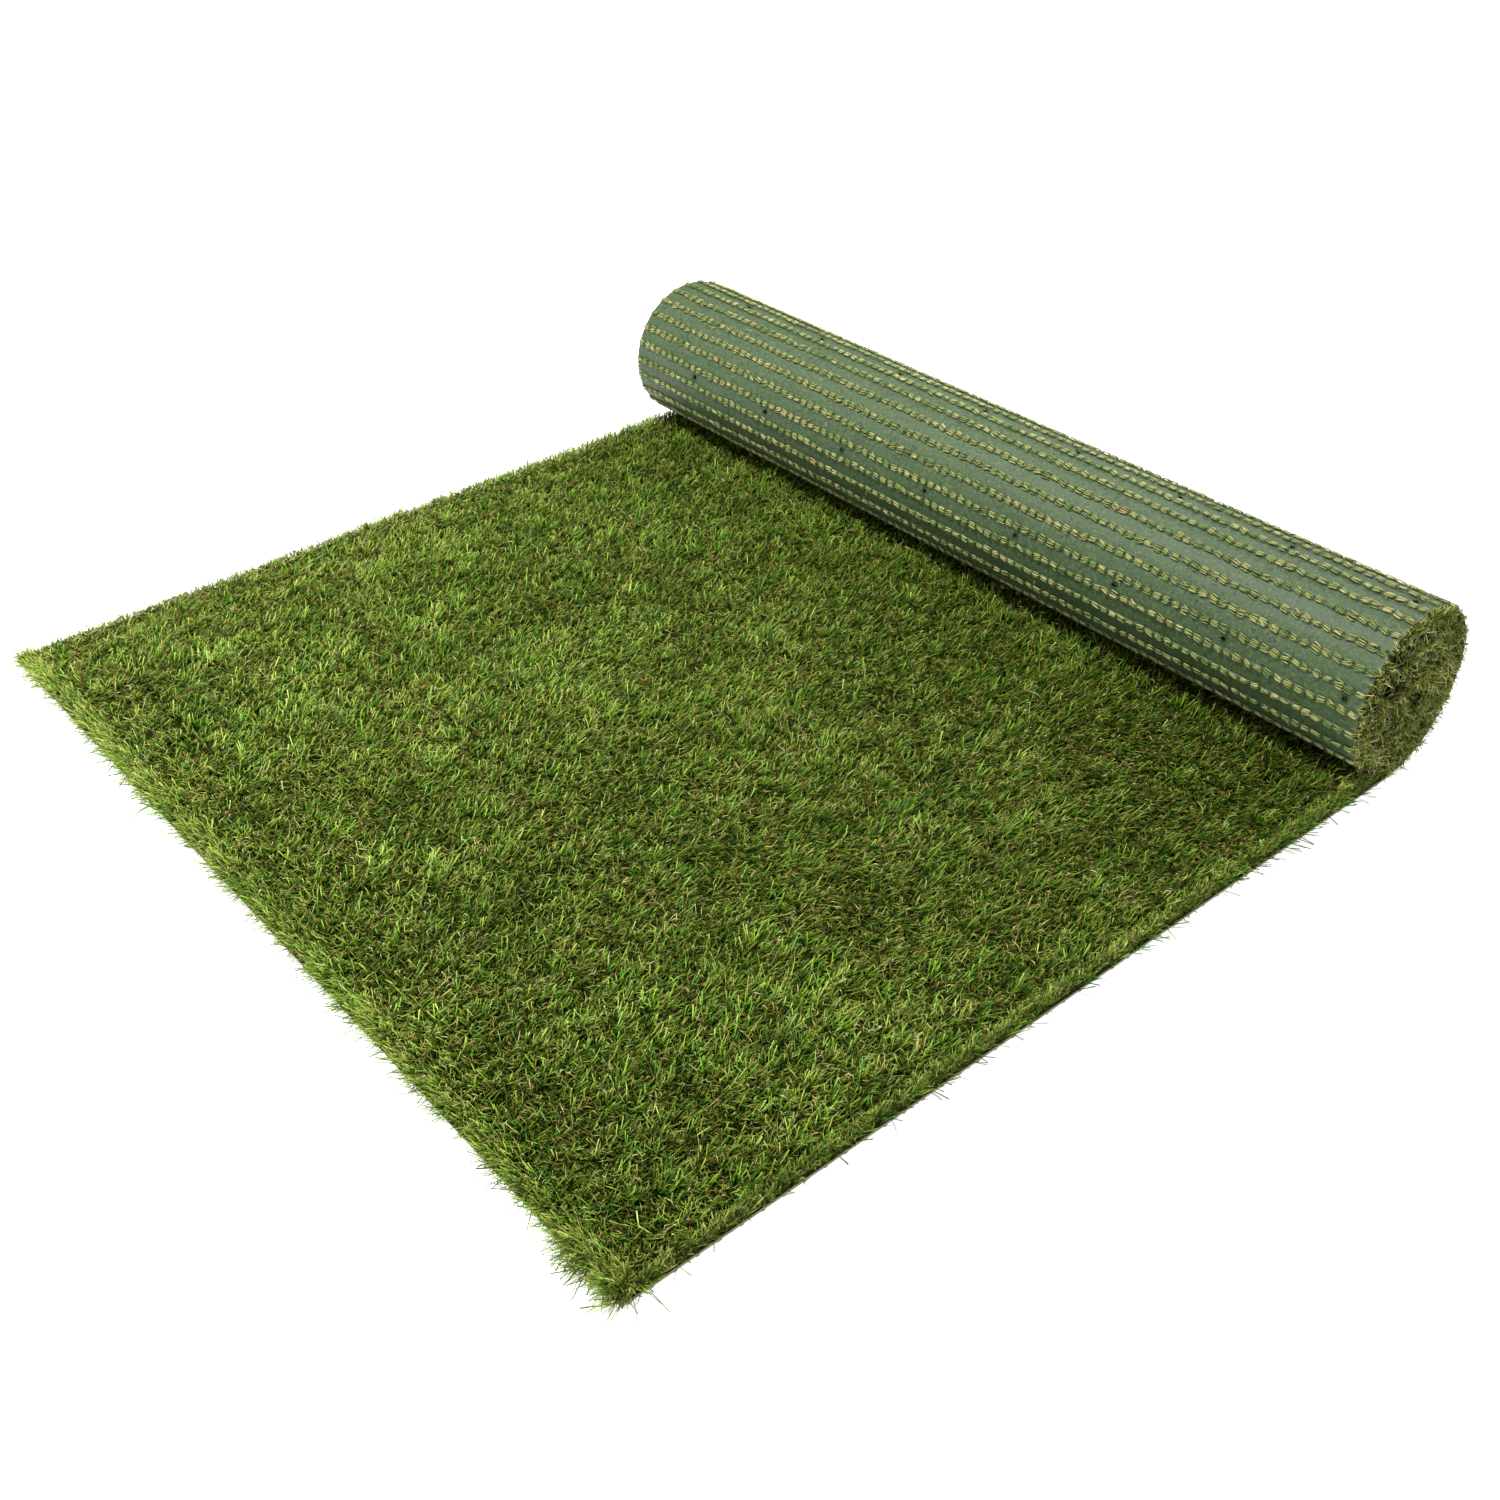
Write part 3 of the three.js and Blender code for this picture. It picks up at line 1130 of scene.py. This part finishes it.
@dataclass
class Pile:
    """The blades and curls that stand in the bed, on the laid part and out of both ends of the roll.

    The lengths are ranges, in millimetres.
    """

    sheet: Sheet
    bed: ThatchShadeBed
    rng: np.random.Generator
    blades: int = 84000
    curls: int = 46000
    side_fibres: int = 3400
    fringe_fibres: int = 6400
    end_fibres: int = 5400
    rim_fibres: int = 420
    stray_fibres: int = 26
    blade_length: Range = (12, 23)
    curl_length: Range = (9, 18)
    side_length: Range = (7, 16)
    fringe_length: Range = (10, 23)
    blade_width: float = 0.86 * MM
    curl_width: float = 0.84 * MM
    edge_width: float = 0.8 * MM
    end_width: float = 0.95 * MM
    rim_width: float = 0.9 * MM
    tuft_radius: float = 2.4 * MM
    comb_way: float = math.radians(56)
    front_zone: float = 70 * MM
    free_of_roll: float = 25 * MM

    def __post_init__(self) -> None:
        """Draws the fields that the patches of the lawn follow, and opens a piece for each yarn."""
        self.patch = Noise(self.rng, 0.05)
        self.fine_patch = Noise(self.rng, 0.014)
        self.comb = Noise(self.rng, 0.11)
        self.cow_lick = Noise(self.rng, 0.02)
        self.tuft_tone = Noise(self.rng, 0.0045, 256)
        straight = (Palette.BRIGHT, Palette.DEEP, Palette.OLIVE)
        curled = (Palette.DEEP, Palette.OLIVE, Palette.STRAW, Palette.TAN)
        self.straight = {yarn: Fibres(yarn.value.name + "_blades", yarn) for yarn in straight}
        self.curled = {
            yarn: Fibres(yarn.value.name + "_curls", yarn, FibreKind.BLADE, 0.6) for yarn in curled
        }

    def _combed(self, x: np.ndarray, y: np.ndarray) -> np.ndarray:
        """How far the pile at a place is combed flat towards the roll, 0 to 1.

        Args:
            x: Places across the sheet.
            y: Places along it.

        Returns:
            The shares.
        """
        right = np.clip((x + 0.25) / 0.5, 0, 1)
        back = np.clip((y - self.sheet.cut_end - 0.12) / 0.25, 0, 1)
        return np.clip(right * back + 0.2 * self.comb(x, y), 0, 1)

    def _spin(self, x: np.ndarray, y: np.ndarray, spread: float) -> np.ndarray:
        """Azimuth that the fibres at a place lean to, most alike where the pile is combed.

        Args:
            x: Places across the sheet.
            y: Places along it.
            spread: How much single fibres stray, in radians, where it isn't combed.

        Returns:
            The azimuths.
        """
        stray = self.rng.normal(0, spread, len(x)) * (1 - 0.5 * self._combed(x, y))
        return self.comb_way + 0.4 * self.comb(y, x) + 0.4 * self.cow_lick(x, y) + stray

    def _plant(
        self,
        growth: Growth,
        root: np.ndarray,
        way: np.ndarray,
        lean: np.ndarray,
        bend: np.ndarray,
        length: np.ndarray,
        width: float,
    ) -> None:
        """Grows fibres that bend once, and gives each a yarn and a tone by the patch that it stands in.

        Args:
            growth: Where they grow.
            root: Their roots, as fibres by three.
            way: Azimuth that each leans to.
            lean: Lean of its lower half from upright, in radians.
            bend: How much more its upper half leans.
            length: Its length.
            width: How broad they are, about.
        """
        rng, count = self.rng, len(way)
        turn = rng.normal(0, 1.1 if growth.value.curled else 0.4, count)
        knee = root + heading(way, lean) * length[:, None] * 0.5
        tip = knee + heading(way + turn, lean + bend) * length[:, None] * 0.5
        for point in (knee, tip):
            point[:, 2] = np.clip(point[:, 2], 1.5 * MM, self.sheet.room(point[:, 1]) - 1 * MM)
        twist = rng.normal(0, 0.8, count)
        sides = np.stack([-np.sin(way) * np.cos(twist), np.cos(way) * np.cos(twist), np.sin(twist)], 1)
        patch = 0.6 * self.patch(root[:, 0], root[:, 1]) + 0.6 * self.fine_patch(root[:, 0], root[:, 1])
        self._share_out(growth, np.stack([root, knee, tip], 1), sides, width, patch)

    def _share_out(
        self, growth: Growth, lines: np.ndarray, sides: np.ndarray, width: float, patch: np.ndarray
    ) -> None:
        """Shares fibres out among the yarns of the place they grow in.

        Args:
            growth: Where they grow.
            lines: Their middle lines.
            sides: The way each is broad.
            width: How broad they are, about.
            patch: The patch value where each stands.
        """
        shares = growth.value.shares
        lines[..., 2] = np.maximum(lines[..., 2], 1 * MM)
        weights = np.stack([np.clip(share + slope * patch, 0.02, None) for share, slope in shares.values()])
        edges = np.cumsum(weights, axis=0) / weights.sum(axis=0)
        pick = (self.rng.uniform(0, 1, len(patch)) > edges).sum(axis=0)
        tuft = self.tuft_tone(lines[:, 0, 0], lines[:, 0, 1] + lines[:, 0, 2])
        lawn = growth in (Growth.LAWN_BLADE, Growth.LAWN_CURL)
        # Lawn fibres take darker tones towards the roll: painted shade where the roll blocks the light.
        back = np.clip((lines[:, 0, 1] - self.sheet.cut_end - 0.3) / 0.5, 0, 1) * lawn
        stray = self.rng.normal(0, growth.value.spread, len(patch))
        tone = np.clip(0.44 - 0.28 * back + 0.1 * patch + 0.22 * tuft + stray, 0, 1)
        widths = width * self.rng.uniform(0.6, 1.3, len(patch))
        for number, yarn in enumerate(shares):
            chosen = pick == number
            fibres = (self.curled if growth.value.curled else self.straight)[yarn]
            fibres.add(lines[chosen], sides[chosen], widths[chosen], tone[chosen], growth.value.foot)

    def grow_lawn(self) -> None:
        """Plants the straight blades on the laid part, a few together."""
        sheet, rng, count = self.sheet, self.rng, self.blades
        tufts = count // 4
        tuft = np.arange(count) % tufts
        x = rng.uniform(-0.5, 0.5, tufts)[tuft] * sheet.width + rng.normal(0, self.tuft_radius, count)
        y = sheet.cut_end + rng.uniform(0, sheet.laid - 30 * MM, tufts)[tuft]
        y = y + rng.normal(0, self.tuft_radius, count)
        x = np.clip(x, -sheet.width / 2 + 1 * MM, sheet.width / 2 - 1 * MM)
        y = np.clip(y, sheet.cut_end + 1 * MM, sheet.cut_end + sheet.laid - self.free_of_roll)
        combed = self._combed(x, y)
        tuft_way, tuft_lean = rng.normal(0, 1, (2, tufts))[:, tuft]
        way = self._spin(x, y, 1.0) + tuft_way * 0.4 * (1 - 0.5 * combed)
        sunk = self.bed.sunk(x, y)
        front = np.clip(1 - (y - sheet.cut_end) / self.front_zone, 0, 1) ** 0.7
        way = np.where(rng.uniform(0, 1, count) < front, -0.5 * math.pi + rng.normal(0, 0.9, count), way)
        way = np.where(x < -sheet.width / 2 + 12 * MM, rng.uniform(0, 2 * math.pi, count), way)
        lean = 0.92 + 0.25 * combed + 0.25 * sunk + 0.22 * tuft_lean + rng.normal(0, 0.28, count)
        root = np.stack([x, y, self.bed.top(x, y) - 2 * MM], 1)
        length = rng.uniform(*self.blade_length, count) * MM * (1 - 0.25 * sunk)
        bend = rng.normal(0.1, 0.12, count)
        self._plant(Growth.LAWN_BLADE, root, way, np.clip(lean, 0, 1.45), bend, length, self.blade_width)

    def grow_curls(self) -> None:
        """Lays the curled thatch among the blades, flatter and in every direction."""
        sheet, rng, count = self.sheet, self.rng, self.curls
        x = rng.uniform(-sheet.width / 2 + 1 * MM, sheet.width / 2 - 1 * MM, count)
        y = sheet.cut_end + rng.uniform(1 * MM, sheet.laid - 30 * MM, count)
        rise = rng.uniform(-1, 8.5, count) * (1 - 0.5 * self.bed.sunk(x, y))
        root = np.stack([x, y, self.bed.top(x, y) + rise * MM], 1)
        lean = np.clip(rng.normal(0.85, 0.35, count), 0, 1.5)
        length = rng.uniform(*self.curl_length, count) * MM
        bend = rng.normal(0.8, 0.4, count)
        way = self._spin(x, y, 1.5)
        self._plant(Growth.LAWN_CURL, root, way, lean, bend, length, self.curl_width)

    def grow_side_edges(self) -> None:
        """Covers the walls of the pile along both sides of the laid part."""
        sheet, rng, count = self.sheet, self.rng, self.side_fibres
        for side, outward in ((-1.0, math.pi), (1.0, 0.0)):
            for growth in (Growth.SIDE, Growth.SIDE_CURL):
                x = side * (sheet.width / 2 - rng.uniform(0.3, 5, count) * MM)
                y = sheet.cut_end + rng.uniform(0, sheet.laid, count)
                wall = self.bed.top(x - side * 8 * MM, y) - sheet.top_of_backing
                foot = sheet.top_of_backing + 0.3 * MM + wall * rng.uniform(0, 0.8, count)
                root = np.stack([x, y, foot], 1)
                way = outward + rng.normal(0, 1.4, count)
                near = np.clip(1 - (y - sheet.cut_end) / 0.35, 0, 1)
                lean = np.clip(rng.normal(0.1, 0.25, count) + 0.25 * near, -0.2, 0.8)
                length = rng.uniform(*self.side_length, count) * MM * (1 - 0.6 * self.bed.sunk(x, y))
                bend = rng.normal(0.3, 0.5, count)
                self._plant(growth, root, way, lean, bend, length, self.edge_width)

    def grow_front_fringe(self) -> None:
        """Lets the pile along the cut end splay out over it, and furthest at its near corner."""
        sheet, rng, count = self.sheet, self.rng, self.fringe_fibres
        for growth, share in ((Growth.FRONT, 1.0), (Growth.FRONT_CURL, 0.7)):
            x = rng.uniform(-sheet.width / 2, sheet.width / 2, count)
            x[: count // 10] = sheet.width / 2 - np.abs(rng.normal(0, 32 * MM, count // 10))
            y = sheet.cut_end + rng.uniform(0.2, 16, count) * MM
            corner = np.clip((x - 0.36) / 0.12, 0, 1)
            rise = rng.uniform(0.8, 15, count) * (1 - 0.5 * self.bed.sunk(x, y))
            root = np.stack([x, y, sheet.top_of_backing + rise * MM], 1)
            clump = self.fine_patch(x, y)
            way = -0.5 * math.pi + 0.35 * self.cow_lick(x, y) + rng.normal(0, 0.75, count)
            lean = np.clip(0.75 + 0.2 * clump + 0.25 * corner + rng.normal(0, 0.38, count), 0.05, 1.6)
            room = 1 + 0.2 * clump + 0.36 * corner - 0.3 * self.bed.sunk(x, y)
            length = rng.uniform(*self.fringe_length, count) * MM * room * share
            bend = rng.normal(0.2, 0.15, count) / share**3
            self._plant(growth, root, way, lean, bend, length, self.edge_width)

    def grow_roll_ends(self) -> None:
        """Lets the rolled pile bristle out of both ends of the roll, and curl over the rims."""
        sheet, rng, count = self.sheet, self.rng, self.end_fibres
        grid = np.linspace(0, sheet.last_angle, 600)
        room = sheet.pile_reach(grid) - sheet.backing
        heap = np.cumsum(room * (sheet.radius(grid) - sheet.backing - room / 2))
        axis = sheet.point(sheet.last_angle, -sheet.radius(sheet.last_angle))
        for end in (-1.0, 1.0):
            angle = np.interp(rng.uniform(0, heap[-1], count), heap, grid)
            share = rng.uniform(0.04, 0.93, count)
            depth = sheet.backing + (sheet.pile_reach(angle) - sheet.backing) * share
            y, z = sheet.point(angle, -depth)
            in_bore = np.hypot(y - axis[0], z - axis[1]) < sheet.bore_radius
            kept = ~in_bore & (self.fine_patch(y * 0.8, z * 0.8 + end) > -1.0)
            y, z = y[kept], z[kept]
            n = len(y)
            root = np.stack([end * (sheet.width / 2 - rng.uniform(4, 10, n) * MM), y, z], 1)
            out = np.array([end, 0.0, 0.0])
            spin = rng.uniform(0, 2 * math.pi, n)
            swirl = np.stack([np.zeros(n), np.cos(spin), np.sin(spin)], 1)
            first = unit(out + swirl * 0.4)
            second = unit(out * rng.uniform(-0.25, 0.8, n)[:, None] + swirl)
            knee = root + first * rng.uniform(5, 11, n)[:, None] * MM
            tip = knee + second * rng.uniform(4, 10, n)[:, None] * MM
            sides = np.cross(first, rng.normal(0, 1, (n, 3)))
            patch = 0.7 * self.fine_patch(y, z)
            lines = np.stack([root, knee, tip], 1)
            self._share_out(Growth.ROLL_END, lines, sides, self.end_width, patch)
            self._curl_over_rim(end)

    def _curl_over_rim(self, end: float) -> None:
        """Lets yarn of the outer turn's pile curl out at one end and back over the edge of the backing.

        Args:
            end: -1 for the left end of the roll, 1 for its right end.
        """
        sheet, rng = self.sheet, self.rng
        count = self.rim_fibres if end > 0 else self.rim_fibres // 4
        angle = rng.uniform(0.5, math.radians(312), count)
        slip = rng.normal(0, 3 * MM, (2, count)) / sheet.roll_radius
        half = sheet.width / 2
        knots = []
        for place, out, depth in (
            (angle, -rng.uniform(1, 4, count), -sheet.backing - rng.uniform(2, 7, count) * MM),
            (angle + slip[0], rng.uniform(0.5, 5, count), -rng.uniform(-1.5, 3, count) * MM),
            (angle + slip[0] + slip[1], rng.uniform(-5, 2, count), rng.uniform(-1, 5.5, count) * MM),
        ):
            knots.append(np.stack([end * (half + out * MM), *sheet.point(place, depth)], 1))
        patch = self.fine_patch(knots[1][:, 1], knots[1][:, 2])
        sides = rng.normal(0, 1, (count, 3))
        self._share_out(Growth.ROLL_RIM, np.stack(knots, 1), sides, self.rim_width, patch)

    def drop_strays(self) -> None:
        """Drops a few long straw fibres on the lawn."""
        rng, count = self.rng, self.stray_fibres
        x, y = rng.uniform(-0.45, 0.45, count), rng.uniform(-0.42, 0.25, count)
        root = np.stack([x, y, np.full(count, 31 * MM)], 1)
        spin = rng.uniform(0, 2 * math.pi, count)
        knee = root + heading(spin, np.full(count, 1.45)) * rng.uniform(12, 20, count)[:, None] * MM
        tip = knee + heading(spin + rng.normal(0, 0.5, count), np.full(count, 1.6)) * 14 * MM
        sides = heading(spin + math.pi / 2, np.full(count, math.pi / 2))
        tones = np.full(count, 0.95)
        straws = self.curled[Palette.STRAW]
        straws.add(np.stack([root, knee, tip], 1), sides, tones * 0.8 * MM, tones)

    def build(self) -> list[bpy.types.Object]:
        """Grows everything and makes one piece of each yarn and form.

        Returns:
            The pieces.
        """
        self.grow_lawn()
        self.grow_curls()
        self.grow_side_edges()
        self.grow_front_fringe()
        self.grow_roll_ends()
        self.drop_strays()
        return [fibres.build() for fibres in (*self.straight.values(), *self.curled.values())]


# Studio


@dataclass(frozen=True)
class Studio:
    """Pale floor, soft light and the camera at the photograph's place."""

    camera_at: Point = (1.078, -0.8397, 0.940)
    yaw: float = math.radians(-50.03)
    pitch: float = math.radians(36.09)
    roll: float = math.radians(-0.61)
    lens: float = 41.34
    sensor: float = 36.0

    def _camera_turn(self) -> Matrix:
        """The camera's turn, from its yaw, its pitch below the horizon and its roll.

        Returns:
            The turn, as a matrix.
        """
        ahead = Vector((
            math.sin(self.yaw) * math.cos(self.pitch),
            math.cos(self.yaw) * math.cos(self.pitch),
            -math.sin(self.pitch),
        ))
        right = Vector((math.cos(self.yaw), -math.sin(self.yaw), 0.0))
        up = right.cross(ahead)
        rolled_right = math.cos(self.roll) * right + math.sin(self.roll) * up
        rolled_up = -math.sin(self.roll) * right + math.cos(self.roll) * up
        return Matrix((rolled_right, rolled_up, -ahead)).transposed()

    def place_camera(self) -> None:
        """Makes the camera."""
        data = bpy.data.cameras.new("camera")
        data.lens = self.lens
        data.sensor_width = self.sensor
        data.clip_end = 50.0
        camera = bpy.data.objects.new("camera", data)
        camera.matrix_world = Matrix.Translation(self.camera_at) @ self._camera_turn().to_4x4()
        bpy.context.scene.collection.objects.link(camera)
        bpy.context.scene.camera = camera

    def lay_floor(self) -> None:
        """Makes the pale floor."""
        bm = bmesh.new()
        bmesh.ops.create_grid(bm, x_segments=1, y_segments=1, size=12.0)
        floor = link("floor", to_mesh(bm, "floor"))
        paint = Paint("pale_floor")
        shade = paint.noise(paint.place(), 1.5, 2.0).band(0.3, 0.7)
        colour = paint.mix(shade, (0.88, 0.88, 0.88), (0.92, 0.92, 0.92))
        paint.set(Base_Color=colour, Roughness=0.9, Emission_Color=(1.0, 1.0, 1.0), Emission_Strength=0.9)
        floor.data.materials.append(paint.material)

    @staticmethod
    def _softbox(name: str, at: Point, target: Point, size: float, power: float, tint: Colour) -> None:
        """Hangs one square soft light that faces a target.

        Args:
            name: The light's name.
            at: Where it hangs.
            target: The point that it faces.
            size: Length of its sides.
            power: Its power, in watts.
            tint: Its colour.
        """
        data = bpy.data.lights.new(name, "AREA")
        data.shape = "SQUARE"
        data.size = size
        data.energy = power
        data.color = tint
        light = bpy.data.objects.new(name, data)
        light.location = at
        light.rotation_euler = (Vector(target) - Vector(at)).to_track_quat("-Z", "Y").to_euler()
        bpy.context.scene.collection.objects.link(light)

    def light(self) -> None:
        """Hangs the soft lights and sets the sky."""
        self._softbox("back_light", (-0.9, 2.2, 1.9), (0.0, 0.1, 0.1), 1.2, 38.0, (1.0, 1.0, 0.97))
        self._softbox("top_light", (-0.6, -0.5, 2.3), (0.0, -0.1, 0.0), 0.4, 82.0, (1.0, 0.99, 0.96))
        self._softbox("front_light", (-0.7, -2.4, 0.9), (0.1, 0.1, 0.05), 1.4, 20.0, (1.0, 1.0, 0.98))
        world = bpy.data.worlds.new("sky")
        world.use_nodes = True
        sky = world.node_tree.nodes["Background"]
        sky.inputs["Color"].default_value = (1.0, 1.0, 1.0, 1.0)
        sky.inputs["Strength"].default_value = 0.35
        bpy.context.scene.world = world
        bpy.context.scene.view_settings.view_transform = "Standard"

    def build(self) -> None:
        """Sets up the whole studio."""
        self.place_camera()
        self.lay_floor()
        self.light()


def main() -> None:
    """Builds the sheet, piece by piece, and then the studio."""
    logging.basicConfig(level=logging.INFO, format="%(name)s: %(message)s")
    sheet = Sheet()
    rng = np.random.default_rng(20240)
    Backing(sheet).dress()
    bed = ThatchShadeBed(sheet, rng)
    stitches = StitchRows(sheet, rng).build()
    tufts = [*bed.build(), *Pile(sheet, bed, rng).build()]
    for piece in [*stitches, *tufts]:
        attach(piece, "root")
    for piece in tufts:
        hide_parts("pile")
    Studio().build()
    bpy.context.view_layer.update()


if __name__ == "__main__":
    main()
